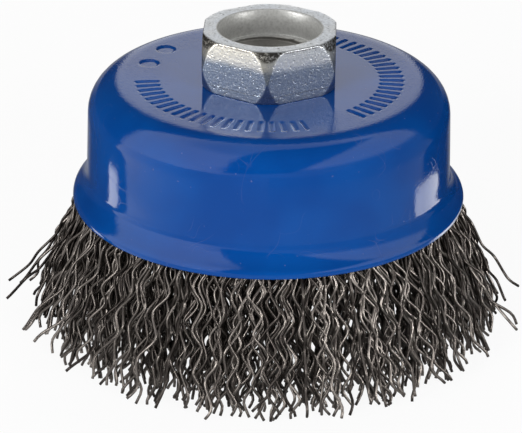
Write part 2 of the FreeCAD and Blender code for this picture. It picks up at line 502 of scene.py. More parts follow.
@dataclass(frozen=True)
class CrimpedWire:
    """Hard drawn steel wire: dark and warm, some wires brighter, with draw marks along them."""

    dark: Colour = (0.050, 0.042, 0.038)
    bright: Colour = (0.50, 0.45, 0.41)
    tarnish: Colour = (0.030, 0.025, 0.022)
    patch_size: float = 1.6
    draw_size: float = 0.5

    def make(self) -> bpy.types.Material:
        """The finish as a material."""
        material, graph = new_material("crimped_wire")
        place = graph.place()
        tone = graph.node(Node.ATTRIBUTE, {"attribute_name": TONE}, out="Fac")
        patches = graph.noise(place, self.patch_size, 2.0)
        drawn = graph.noise(graph.scaled(place, (5.0, 5.0, 0.6)), self.draw_size, 2.0)
        colour = graph.colour(tone, self.dark, self.bright)
        colour = graph.colour(patches.ramp(0.5, 0.75) * 0.45, colour, self.tarnish)
        graph.surface({
            "Base Color": colour,
            "Metallic": 0.95,
            "Roughness": 0.25 + patches * 0.14 + drawn * 0.08,
            "Normal": graph.bump(drawn * 0.012),
        })
        return material


@dataclass(frozen=True)
class Corner:
    """A corner of a turned section.

    Attributes:
        r: Distance from the axis.
        z: Height.
        rounding: Radius of the arc that takes the corner off.
        spacing: Distance between points on the straight way to the next corner.
    """

    r: float
    z: float
    rounding: float = 0.0
    spacing: float = 1.5


def arc_at(corner: Corner, before: Corner, after: Corner, step: float) -> list[np.ndarray]:
    """Points of a corner's arc.

    Args:
        corner: The corner.
        before: The corner before it.
        after: The corner after it.
        step: Largest turn between two points, in radians.

    Returns:
        The arc's points as (r, z), or the corner itself where it has no rounding.
    """
    here = np.array((corner.r, corner.z))
    if corner.rounding == 0:
        return [here]
    ways = [np.array((c.r, c.z)) - here for c in (before, after)]
    back, on = (way / np.linalg.norm(way) for way in ways)
    half = 0.5 * math.acos(float(np.clip(back @ on, -1, 1)))
    middle = (back + on) / np.linalg.norm(back + on)
    centre = here + middle * corner.rounding / math.sin(half)
    reach = corner.rounding / math.tan(half)
    first, last = here + back * reach - centre, here + on * reach - centre
    start = math.atan2(first[1], first[0])
    sweep = math.remainder(math.atan2(last[1], last[0]) - start, FULL_TURN)
    count = max(2, math.ceil(abs(sweep) / step))
    angles = start + sweep * np.arange(count + 1) / count
    return [centre + corner.rounding * np.array((math.cos(a), math.sin(a))) for a in angles]


def section_points(corners: Sequence[Corner], step: float = math.radians(9)) -> np.ndarray:
    """Points round a closed turned section.

    Args:
        corners: Its corners in order.
        step: Largest turn between two points of an arc, in radians.

    Returns:
        An array of (r, z).
    """
    count = len(corners)
    arcs = [arc_at(c, corners[i - 1], corners[(i + 1) % count], step) for i, c in enumerate(corners)]
    points: list[np.ndarray] = []
    for i, arc in enumerate(arcs):
        points.extend(arc)
        start, end = arc[-1], arcs[(i + 1) % count][0]
        parts = max(1, math.ceil(float(np.linalg.norm(end - start)) / corners[i].spacing))
        points.extend(start + (end - start) * k / parts for k in range(1, parts))
    return np.array(points)


def even_azimuths(columns: int) -> np.ndarray:
    """Evenly spaced azimuths round the axis, in radians."""
    return np.arange(columns) / columns * FULL_TURN


def turned_grid(section: np.ndarray, azimuths: np.ndarray) -> np.ndarray:
    """A section swept round the axis, as an array of sections, azimuths and (x, y, z)."""
    r, z = section[:, :1], section[:, 1:]
    heights = np.broadcast_to(z, (len(section), len(azimuths)))
    return np.stack((r * np.cos(azimuths), r * np.sin(azimuths), heights), axis=-1)


def ring_faces(rows: int, columns: int) -> np.ndarray:
    """Four-sided faces of a grid that closes on itself both ways."""
    row, column = np.meshgrid(np.arange(rows), np.arange(columns), indexing="ij")
    next_row, next_column = (row + 1) % rows, (column + 1) % columns
    corners = [(row, column), (row, next_column), (next_row, next_column), (next_row, column)]
    return np.stack([r * columns + c for r, c in corners], axis=-1).reshape(-1, 4)


def enclosed_volume(points: np.ndarray, faces: np.ndarray) -> float:
    """Volume inside four-sided faces, negative where they are inside out."""
    a, b, c, d = (points[faces[:, i]] for i in range(4))
    return float(np.sum(a * (np.cross(b, c) + np.cross(c, d))) / 6)


def mesh_piece(name: str, points: np.ndarray, faces: Sequence[Sequence[int]]) -> bpy.types.Object:
    """A smooth-shaded object.

    Args:
        name: Name of the piece.
        points: Its points, in millimetres.
        faces: Its faces.

    Returns:
        The object, linked to the scene.
    """
    mesh = bpy.data.meshes.new(name)
    mesh.from_pydata((points * MM).tolist(), [], faces)
    mesh.polygons.foreach_set("use_smooth", [True] * len(mesh.polygons))
    mesh.update()
    piece = bpy.data.objects.new(name, mesh)
    bpy.context.scene.collection.objects.link(piece)
    return piece


def turned_piece(name: str, grid: np.ndarray) -> bpy.types.Object:
    """A closed piece from a grid of points that closes on itself both ways."""
    rows, columns, _ = grid.shape
    points = grid.reshape(-1, 3)
    faces = ring_faces(rows, columns)
    if enclosed_volume(points, faces) < 0:
        faces = faces[:, ::-1]
    return mesh_piece(name, points, faces.tolist())


def seat(piece: bpy.types.Object, node: str, finish: bpy.types.Material) -> None:
    """Gives a piece its finish and its place in the frame.

    Args:
        piece: The piece.
        node: The CAD node that it stands for.
        finish: The material.
    """
    piece.data.materials.append(finish)
    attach(piece, "root")
    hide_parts(node)
    log.info("%s stands for %s with %d faces", piece.name, node, len(piece.data.polygons))


def span(node: str) -> tuple[np.ndarray, np.ndarray]:
    """Lowest and highest corners of a CAD node, in millimetres."""
    low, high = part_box(node)
    return np.array(low) / MM, np.array(high) / MM


def smooth_step(value: np.ndarray, low: float, high: float) -> np.ndarray:
    """0 below low, 1 above high, and smooth between them."""
    share = np.clip((value - low) / (high - low), 0, 1)
    return share * share * (3 - 2 * share)


def between(ends: tuple[float, float], share: np.ndarray) -> np.ndarray:
    """Values from one end to the other."""
    return ends[0] + (ends[1] - ends[0]) * share


def unit(vectors: np.ndarray) -> np.ndarray:
    """Vectors brought to length 1."""
    return vectors / np.linalg.norm(vectors, axis=-1, keepdims=True)


def smaller(a: np.ndarray, b: np.ndarray, blend: float) -> np.ndarray:
    """The smaller of two values, with the corner between them rounded over the width of the blend."""
    overlap = np.clip(blend - np.abs(a - b), 0, None) / blend
    return np.minimum(a, b) - overlap * overlap * blend / 4


@dataclass
class PressedCup:
    """The outer cup: a pressed bell with a flat top, a drawn wall and a stepped, flared lip."""

    rim_z: float
    top_z: float
    lip_r: float
    wall: float = 1.3
    hole_r: float = 9.66
    wall_top_r: float = 30.6
    wall_foot_r: float = 31.3
    shoulder: float = 5.6
    lip_h: float = 1.1
    lip_rounding: float = 1.3
    edge_rounding: float = 0.45
    flare_h: float = 3.1
    flare_rounding: float = 4.4
    inner_rounding: float = 1.2
    lean: float = 0.45
    columns: int = 720
    mark_inner_r: float = 18.9
    mark_outer_r: float = 22.6
    mark_width: float = 0.6
    mark_pitch: float = 5.0
    mark_depth: float = 0.22
    mark_soft: float = 0.2
    mark_arcs: tuple[tuple[float, float], ...] = ((-172.0, -74.5), (-45.0, 62.0))
    dimples: tuple[tuple[float, float], ...] = ((165.2, 21.6), (146.5, 22.2))
    dimple_r: float = 1.7

    @classmethod
    def from_frame(cls) -> PressedCup:
        """The cup with its outer sizes taken from its CAD node."""
        low, high = span("outer_cup")
        return cls(rim_z=low[2], top_z=high[2], lip_r=high[0])

    @property
    def inner_r(self) -> float:
        """Radius of the wall's inner side."""
        return self.wall_foot_r - self.wall - 0.15

    def section(self) -> np.ndarray:
        """The cup's section, from the hole's upper edge outwards and back inside."""
        rim, top, wall = self.rim_z, self.top_z, self.wall
        under, inner_r = top - wall, self.inner_r
        return section_points([
            Corner(self.hole_r, top, 0.0, 1.0),
            Corner(self.mark_inner_r - 1.0, top, 0.0, 0.28),
            Corner(self.mark_outer_r + 1.8, top, 0.0, 1.0),
            Corner(self.wall_top_r, top, self.shoulder, 1.0),
            Corner(self.wall_foot_r, rim + self.flare_h, self.flare_rounding, 0.4),
            Corner(self.lip_r, rim + self.lip_h, self.lip_rounding, 0.4),
            Corner(self.lip_r, rim, self.edge_rounding, 0.4),
            Corner(self.lip_r - wall, rim, 0.4, 0.5),
            Corner(self.lip_r - wall, rim + self.lip_h - 0.1, 0.3, 0.6),
            Corner(inner_r, rim + self.flare_h - 0.5, self.inner_rounding, 3.0),
            Corner(inner_r, under, self.shoulder - wall, 3.0),
            Corner(self.hole_r, under, 0.0, 0.5),
        ])

    def pressed_marks(self, grid: np.ndarray) -> np.ndarray:
        """How deep the top is pressed in at each point of the grid."""
        x, y, z = grid[..., 0], grid[..., 1], grid[..., 2]
        radius, azimuth = np.hypot(x, y), np.degrees(np.arctan2(y, x))
        on_top = z > self.top_z - 0.01
        soft = self.mark_soft
        across = smooth_step(radius, self.mark_inner_r - soft, self.mark_inner_r + soft)
        across = across * (1 - smooth_step(radius, self.mark_outer_r - soft, self.mark_outer_r + soft))
        depth = np.zeros_like(radius)
        for start, end in self.mark_arcs:
            turn = (azimuth - start) / self.mark_pitch
            off = np.abs(turn - np.round(turn)) * math.radians(self.mark_pitch) * radius
            bar = 1 - smooth_step(off, self.mark_width / 2 - 0.12, self.mark_width / 2 + 0.18)
            inside = (azimuth > start - self.mark_pitch / 2) & (azimuth < end + self.mark_pitch / 2)
            depth = np.maximum(depth, bar * across * inside)
        for at, r in self.dimples:
            away = np.hypot(x - r * math.cos(math.radians(at)), y - r * math.sin(math.radians(at)))
            bowl = 1 - smooth_step(away, self.dimple_r - 0.35, self.dimple_r + 0.1)
            depth = np.maximum(depth, bowl)
        return depth * on_top * self.mark_depth

    def uneven_flare(self, grid: np.ndarray) -> np.ndarray:
        """How far the flare is lowered at each point: it was pressed lower on the +X side."""
        azimuth, height = np.arctan2(grid[..., 1], grid[..., 0]), grid[..., 2] - self.rim_z
        on_flare = smooth_step(height, 0.4, 2.0) * (1 - smooth_step(height, 5.0, 11.0))
        return self.lean * np.cos(azimuth) * on_flare

    def build(self, finish: bpy.types.Material) -> None:
        """Builds the cup and seats it."""
        grid = turned_grid(self.section(), even_azimuths(self.columns))
        grid[..., 2] -= self.pressed_marks(grid) + self.uneven_flare(grid)
        seat(turned_piece("enamelled_cup", grid), "outer_cup", finish)


@dataclass
class ArborNut:
    """The hexagon nut, its counterbore and thread, and the neck spread under the retaining cup."""

    foot_z: float
    top_z: float
    collar_r: float
    neck_foot_z: float
    flats: float = 22.2
    recess_r: float = 8.65
    recess_depth: float = 4.5
    recess_bevel: float = 0.2
    thread_minor_r: float = 6.75
    thread_major_r: float = 7.94
    thread_pitch: float = 2.309
    neck_r: float = 9.55
    collar_h: float = 1.8
    thread_steps: int = 62
    top_turning: Profile = ((0.0, 11.5), (0.45, 11.78), (1.8, 12.2), (3.7, 12.5), (5.5, 12.74))
    foot_turning: Profile = ((0.0, 11.8), (0.4, 12.0), (1.0, 12.2), (2.4, 12.56), (3.8, 12.74))
    burr_azimuths: tuple[float, float] = (62.0, 128.0)
    burr_width: float = 0.05
    burr_reach: float = 0.7
    burr_h: float = 0.12
    crispness: float = 0.05
    edge: float = 0.12
    corner_rounding: float = 0.12
    columns_per_flat: int = 72

    @classmethod
    def from_frame(cls) -> ArborNut:
        """The nut with its outer sizes taken from the CAD nodes."""
        low, high = span("arbor_nut")
        _, cup_high = span("outer_cup")
        return cls(foot_z=cup_high[2], top_z=high[2], collar_r=high[0], neck_foot_z=low[2])

    def azimuths(self) -> np.ndarray:
        """Azimuths of the grid, closer together near the hexagon's corners."""
        share = (np.arange(self.columns_per_flat) + 0.5) / self.columns_per_flat * 2 - 1
        bent = np.sin(share * math.pi / 2) * 0.55 + share * 0.45
        sixth = FULL_TURN / 6
        return np.concatenate([sixth * k + bent * sixth / 2 for k in range(6)])

    def hexagon(self, azimuths: np.ndarray) -> np.ndarray:
        """Distance from the axis to the flats, with the corners slightly rounded."""
        normals = np.arange(6) * FULL_TURN / 6
        nearness = np.cos(azimuths[:, None] - normals[None, :])
        facing = 0.3
        reach = np.where(nearness > facing, self.flats / 2 / np.maximum(nearness, facing), np.inf)
        nearest = np.sort(reach, axis=1)
        return smaller(nearest[:, 0], nearest[:, 1], self.corner_rounding)

    def turned_limit(self, z: float) -> float:
        """Radius at a height to which the nut's ends are turned."""
        upper = np.interp(self.top_z - z, *zip(*self.top_turning))
        lower = np.interp(z - self.foot_z, *zip(*self.foot_turning))
        return float(min(upper, lower))

    def side_rows(self, azimuths: np.ndarray) -> list[np.ndarray]:
        """Rows of points down the outside, from the top face's edge to the foot's edge."""
        hexagon = self.hexagon(azimuths)
        height = self.top_z - self.foot_z
        near_end = np.array([0.0, 0.02, 0.05, 0.09, 0.13, 0.2, 0.3])
        between = np.arange(0.45, height - 0.3, 0.2)
        depths = np.unique(np.round(np.concatenate((near_end, between, height - near_end)), 3))
        rows = []
        for depth in depths:
            z = self.top_z - depth
            limit = np.full_like(hexagon, self.turned_limit(z))
            r = smaller(hexagon, limit, self.crispness)
            from_end = min(depth, height - depth)
            if from_end < self.edge:
                r = r - (self.edge - math.sqrt(self.edge**2 - (self.edge - from_end) ** 2))
            rows.append(np.stack((r, np.full_like(r, z)), axis=-1))
        return rows

    def end_rows(self, edge_row: np.ndarray, inner_r: float, z: float, count: int) -> list[np.ndarray]:
        """Rows across an end face, from a round inner edge to the outline of the side."""
        heights = np.full(len(edge_row), z)
        radii = (inner_r + (edge_row[:, 0] - inner_r) * step / count for step in range(count))
        return [np.stack((r, heights), axis=-1) for r in radii]

    def neck_rows(self, count: int) -> list[np.ndarray]:
        """Rows down the neck and round the spread collar, to the thread's lower edge."""
        collar_top = self.neck_foot_z + self.collar_h
        line = [
            (self.neck_r, self.foot_z - 0.02),
            (self.neck_r, collar_top + 0.3),
            (self.neck_r, collar_top),
            (self.collar_r - 0.5, collar_top),
            (self.collar_r - 0.12, collar_top - 0.15),
            (self.collar_r, collar_top - 0.5),
            (self.collar_r - 0.1, collar_top - 1.0),
            (self.collar_r - 0.6, self.neck_foot_z + 0.3),
            (self.collar_r - 1.4, self.neck_foot_z),
            (self.thread_major_r + 0.6, self.neck_foot_z),
            (self.thread_major_r + 0.2, self.neck_foot_z + 0.05),
        ]
        return [np.tile(np.array(point), (count, 1)) for point in line]

    def thread_rows(self, azimuths: np.ndarray) -> list[np.ndarray]:
        """Rows up the thread, from the neck's foot to the ledge of the counterbore."""
        ledge = self.top_z - self.recess_depth
        low, high = self.neck_foot_z + 0.15, ledge - 0.12
        depth = self.thread_major_r - self.thread_minor_r
        rows = []
        for z in np.linspace(low, high, self.thread_steps):
            turn = np.mod((z - self.foot_z) / self.thread_pitch - azimuths / FULL_TURN, 1.0)
            groove = np.clip(1.25 - np.abs(turn - 0.5) * 3.1, 0, 1)
            opening = max(0.0, 1 - (high - z) / 0.9) + max(0.0, 1 - (z - low) / 0.9)
            r = self.thread_minor_r + depth * np.maximum(groove, min(1.0, opening) * 0.85)
            rows.append(np.stack((r, np.full_like(r, z)), axis=-1))
        return rows

    def burr(self, azimuths: np.ndarray, at: float) -> np.ndarray:
        """How much of a small burr on the thread's first turn there is at each azimuth."""
        away = np.angle(np.exp(1j * (azimuths - math.radians(at))))
        return np.exp(-((away / self.burr_width) ** 2))

    def recess_rows(self, azimuths: np.ndarray) -> list[np.ndarray]:
        """Rows across the ledge, up the counterbore and out over its bevel."""
        ledge, r, bevel = self.top_z - self.recess_depth, self.recess_r, self.recess_bevel
        line = [
            (self.thread_major_r - 0.02, ledge),
            (self.thread_major_r + 0.15, ledge),
            (r - 0.15, ledge),
            (r - 0.03, ledge + 0.03),
            (r, ledge + 0.15),
            (r, ledge + 1.2),
            (r, ledge + 2.4),
            (r, self.top_z - bevel - 0.05),
            (r + 0.03, self.top_z - bevel + 0.02),
            (r + bevel - 0.05, self.top_z - 0.05),
            (r + bevel, self.top_z),
        ]
        rows = [np.tile(np.array(point), (len(azimuths), 1)) for point in line]
        burrs = sum(self.burr(azimuths, at) for at in self.burr_azimuths)
        rows[0] = rows[0] + np.stack((-self.burr_reach * burrs, self.burr_h * burrs), axis=-1)
        return rows

    def build(self, finish: bpy.types.Material) -> None:
        """Builds the nut and seats it."""
        azimuths = self.azimuths()
        side = self.side_rows(azimuths)
        rows = self.recess_rows(azimuths)
        rows += self.end_rows(side[0], self.recess_r + self.recess_bevel + 0.06, self.top_z, 6)
        rows += side
        rows += self.end_rows(side[-1], self.neck_r + 0.06, self.foot_z, 3)[::-1]
        rows += self.neck_rows(len(azimuths))
        rows += self.thread_rows(azimuths)
        section = np.stack(rows)
        r, z = section[..., 0], section[..., 1]
        grid = np.stack((r * np.cos(azimuths), r * np.sin(azimuths), z), axis=-1)
        seat(turned_piece("plated_arbor_nut", grid), "arbor_nut", finish)


@dataclass
class RetainingCup:
    """The small inner cup that the nut's neck clamps, with its rolled shoulder."""

    rim_z: float
    top_z: float
    outer_r: float
    wall: float = 1.2
    hole_r: float = 9.66
    shoulder: float = 2.6
    columns: int = 120

    @classmethod
    def from_frame(cls) -> RetainingCup:
        """The inner cup with its outer sizes taken from its CAD node."""
        low, high = span("retaining_cup")
        return cls(rim_z=low[2], top_z=high[2], outer_r=high[0])

    def build(self, finish: bpy.types.Material) -> None:
        """Builds the inner cup and seats it."""
        under, inner_r = self.top_z - self.wall, self.outer_r - self.wall
        section = section_points([
            Corner(self.hole_r, self.top_z, 0.1, 2.0),
            Corner(self.outer_r, self.top_z, self.shoulder, 1.5),
            Corner(self.outer_r, self.rim_z, 0.35, 1.0),
            Corner(inner_r, self.rim_z, 0.35, 1.5),
            Corner(inner_r, under, self.shoulder - self.wall, 2.0),
            Corner(self.hole_r, under, 0.1, 1.0),
        ])
        piece = turned_piece("inner_cup", turned_grid(section, even_azimuths(self.columns)))
        seat(piece, "retaining_cup", finish)


@dataclass
class HoldingRing:
    """The ring that the wires are folded over."""

    low_z: float
    high_z: float
    outer_r: float
    width: float = 2.4
    rounding: float = 0.5
    columns: int = 120

    @classmethod
    def from_frame(cls) -> HoldingRing:
        """The ring with its outer sizes taken from its CAD node."""
        low, high = span("holding_ring")
        return cls(low_z=low[2], high_z=high[2], outer_r=high[0])

    def build(self, finish: bpy.types.Material) -> None:
        """Builds the ring and seats it."""
        low, high = self.low_z, self.high_z
        outer_r, inner_r = self.outer_r, self.outer_r - self.width
        corners = [(outer_r, high), (outer_r, low), (inner_r, low), (inner_r, high)]
        section = section_points([Corner(r, z, self.rounding, 0.8) for r, z in corners])
        piece = turned_piece("wire_ring", turned_grid(section, even_azimuths(self.columns)))
        seat(piece, "holding_ring", finish)


@dataclass
class Legs:
    """One side of a group's hairpins, from the ring down to the tips.

    Attributes:
        azimuth: Azimuth of each leg at the ring, in radians.
        root_r: Distance from the axis at the ring.
        rim_r: Distance from the axis at the lip.
        tip_r: Distance from the axis at the tip.
        tip_azimuth: Azimuth at the tip, in radians.
        beyond: How far a bent leg's tip springs out past tip_r.
        points: Number of points down each leg.
    """

    azimuth: np.ndarray
    root_r: np.ndarray
    rim_r: np.ndarray
    tip_r: np.ndarray
    tip_azimuth: np.ndarray
    beyond: np.ndarray
    points: int


@dataclass
class WireTrim:
    """The crimped wires, hooked over the ring in hairpins and flared out below the lip."""

    ring: HoldingRing
    rim_z: float
    lip_inner_r: float
    wall_inner_r: float
    groups: int = 24
    hairpins_in_group: int = 32
    wire_r: float = 0.255
    sides: int = 5
    outer_root_r: float = 28.6
    outer_rim_r: tuple[float, float] = (29.4, 31.6)
    outer_tip_r: tuple[float, float] = (33.5, 41.3)
    inner_root_r: float = 24.6
    inner_rim_r: tuple[float, float] = (24.9, 28.6)
    inner_tip_r: tuple[float, float] = (27.6, 34.5)
    crimp_pitch: tuple[float, float] = (6.1, 7.3)
    crimp_reach: tuple[float, float] = (0.6, 1.05)
    sharpness: float = 0.03
    phase_step: float = 0.45
    plane_spread: float = 0.65
    radial_share: float = 0.8
    held_share: float = 0.3
    held_to: float = 6.0
    free_from: float = 1.0
    flare_power: float = 0.86
    spring_power: float = 2.6
    drift_power: float = 1.2
    tip_drift: float = 2.6
    ragged_h: float = 1.4
    bend_clearance: float = 0.3
    outer_points: int = 42
    inner_points: int = 34
    crown_points: int = 6
    seed: int = 11

    def leg_lines(self, rng: np.random.Generator, legs: Legs) -> np.ndarray:
        """Centre lines of crimped legs.

        Args:
            rng: Source of chance.
            legs: The legs.

        Returns:
            An array of legs, points and (x, y, z).
        """
        count = len(legs.azimuth)
        bend_z = self.rim_z + 1.0
        root_z = (self.ring.low_z + self.ring.high_z) / 2
        tip_z = rng.uniform(0.12, self.ragged_h, count) + legs.beyond * rng.uniform(0.2, 0.9, count)
        hidden = legs.points // 5
        above = np.linspace(0, 1, hidden, endpoint=False)[None, :]
        below = np.linspace(0, 1, legs.points - hidden)[None, :]
        root_r, rim_r, tip_r = (part[:, None] for part in (legs.root_r, legs.rim_r, legs.tip_r))
        z_above = root_z + (bend_z - root_z) * above + np.zeros((count, 1))
        z_below = bend_z + (tip_z[:, None] - bend_z) * below
        z = np.concatenate((z_above, z_below), axis=1)
        r_above = root_r + (rim_r - root_r) * above
        r_below = rim_r + (tip_r - rim_r) * below**self.flare_power
        r_below = r_below + legs.beyond[:, None] * below**self.spring_power
        r = np.concatenate((r_above, r_below), axis=1)
        drift = np.broadcast_to(below**self.drift_power, (count, legs.points - hidden))
        drift = np.concatenate((np.zeros((count, hidden)), drift), axis=1)
        around = legs.azimuth[:, None] + (legs.tip_azimuth - legs.azimuth)[:, None] * drift
        slant = np.hypot(1, (tip_r - rim_r) / self.rim_z)
        swing, plane = self.crimp(rng, (root_z - z) * slant)
        above_rim = z - self.rim_z
        free = 1 - smooth_step(above_rim, self.free_from, self.held_to)
        swing = swing * (self.held_share + (1 - self.held_share) * free)
        r = np.minimum(r + swing * np.sin(plane) * self.radial_share, self.room_in_cup(z))
        around = around + swing * np.cos(plane) / r
        return np.stack((r * np.cos(around), r * np.sin(around), z), axis=-1)

    def crimp(self, rng: np.random.Generator, along: np.ndarray) -> tuple[np.ndarray, np.ndarray]:
        """The waves pressed into the wires, nearly in step from one wire to the next.

        Args:
            rng: Source of chance.
            along: Distance along each wire, as an array of wires and points.

        Returns:
            How far each point swings from its line, and the turn of each wire's plane in radians.
        """
        each = (len(along), 1)
        pitch = rng.uniform(*self.crimp_pitch, each)
        reach = rng.uniform(*self.crimp_reach, each)
        phase = rng.uniform(0, FULL_TURN) + np.cumsum(rng.normal(0, self.phase_step, each), axis=0)
        plane = rng.normal(0, self.plane_spread, each)
        wave = phase + FULL_TURN * along / pitch
        return reach * (np.sin(wave) - self.sharpness * np.sin(3 * wave)), plane

    def room_in_cup(self, z: np.ndarray) -> np.ndarray:
        """How far from the axis a wire may stand at each height: inside the cup, or anywhere below it."""
        inner_r = np.interp(z - self.rim_z, (0.2, 1.9), (self.lip_inner_r, self.wall_inner_r))
        return np.where(z > self.rim_z, inner_r - self.wire_r - 0.05, np.inf)

    def hairpins(self, rng: np.random.Generator, group: int) -> np.ndarray:
        """The centre lines of one group's hairpins, from the inner tips to the outer tips."""
        count = self.hairpins_in_group
        sector = FULL_TURN / self.groups
        azimuth = sector * (group + (np.arange(count) + 0.5) / count)
        azimuth = azimuth + rng.uniform(-0.4, 0.4, count) * sector / count
        layer = rng.permutation((np.arange(count) + 0.5) / count)
        tip_r = between(self.outer_tip_r, layer**0.75) + rng.normal(0, 0.35, count)
        tip_azimuth = azimuth + rng.normal(0, self.tip_drift, count) / tip_r
        beyond = np.zeros(count)
        unbent_r = self.outer_tip_r[1] - 0.6
        for at, reach in STRAY_TIPS.items():
            aim = math.radians(at % 360.0)
            if int(aim // sector) == group:
                nearest = int(np.argmin(np.abs(azimuth - aim) - layer * 0.01))
                tip_r[nearest] = unbent_r
                beyond[nearest] = reach - unbent_r
                tip_azimuth[nearest] = aim
        outer_root_r = self.outer_root_r + rng.uniform(-0.6, 0.5, count)
        outer_rim_r = between(self.outer_rim_r, layer)
        legs = Legs(azimuth, outer_root_r, outer_rim_r, tip_r, tip_azimuth, beyond, self.outer_points)
        outer = self.leg_lines(rng, legs)
        layer = rng.permutation(layer)
        tip_r = between(self.inner_tip_r, layer) + rng.normal(0, 0.3, count)
        inner_root_r = self.inner_root_r + rng.uniform(-0.25, 0.25, count)
        inner_rim_r = between(self.inner_rim_r, layer)
        tip_azimuth = azimuth + rng.normal(0, self.tip_drift, count) / tip_r
        beyond = np.zeros(count)
        legs = Legs(azimuth, inner_root_r, inner_rim_r, tip_r, tip_azimuth, beyond, self.inner_points)
        inner = self.leg_lines(rng, legs)
        return np.concatenate((inner[:, ::-1], self.crown(azimuth), outer), axis=1)

    def crown(self, azimuth: np.ndarray) -> np.ndarray:
        """Points of each hairpin's bend over the ring."""
        middle_r = self.ring.outer_r - self.ring.width / 2
        half = self.ring.width / 2 + self.wire_r + self.bend_clearance
        start_depth = 0.6
        turns = np.linspace(math.pi, 0, self.crown_points)
        r = np.tile(middle_r + half * np.cos(turns), (len(azimuth), 1))
        rise = (start_depth + self.wire_r + 0.25) * np.sin(turns)
        z = np.tile(self.ring.high_z - start_depth + rise, (len(azimuth), 1))
        return np.stack((r * np.cos(azimuth[:, None]), r * np.sin(azimuth[:, None]), z), axis=-1)

    def tubes(self, lines: np.ndarray) -> tuple[np.ndarray, list[list[int]]]:
        """Round wires along centre lines.

        Args:
            lines: Array of wires, points and (x, y, z).

        Returns:
            The points and the faces.
        """
        wires, count, _ = lines.shape
        along = unit(np.gradient(lines, axis=1))
        middle = lines[:, count // 2, :]
        hoop = unit(np.stack((-middle[:, 1], middle[:, 0], np.zeros(wires)), axis=-1))[:, None, :]
        across = unit(hoop - np.sum(hoop * along, axis=-1, keepdims=True) * along)
        other = np.cross(along, across)
        turns = even_azimuths(self.sides)[:, None]
        ring = across[:, :, None] * np.cos(turns) + other[:, :, None] * np.sin(turns)
        points = lines[:, :, None] + ring * self.wire_r
        number = np.arange(wires * count * self.sides).reshape(wires, count, self.sides)
        turned = np.roll(number, -1, axis=2)
        around = np.stack((number[:, :-1], turned[:, :-1], turned[:, 1:], number[:, 1:]), axis=-1)
        faces = around.reshape(-1, 4).tolist()
        faces += number[:, 0, ::-1].tolist()
        faces += number[:, -1, :].tolist()
        return points.reshape(-1, 3), faces

    def build(self, finish: bpy.types.Material) -> None:
        """Builds each group of wires and seats it."""
        for group in range(self.groups):
            rng = np.random.default_rng(self.seed + group)
            lines = self.hairpins(rng, group)
            points, faces = self.tubes(lines)
            points[:, 2] = np.maximum(points[:, 2], 0.0)
            piece = mesh_piece(f"crimped_wires_{group + 1:02d}", points, faces)
            tones = rng.beta(1.1, 2.9, len(lines))
            per_point = np.repeat(tones, lines.shape[1] * self.sides)
            piece.data.attributes.new(TONE, "FLOAT", "POINT").data.foreach_set("value", per_point)
            seat(piece, f"wire_group_{group + 1:02d}", finish)


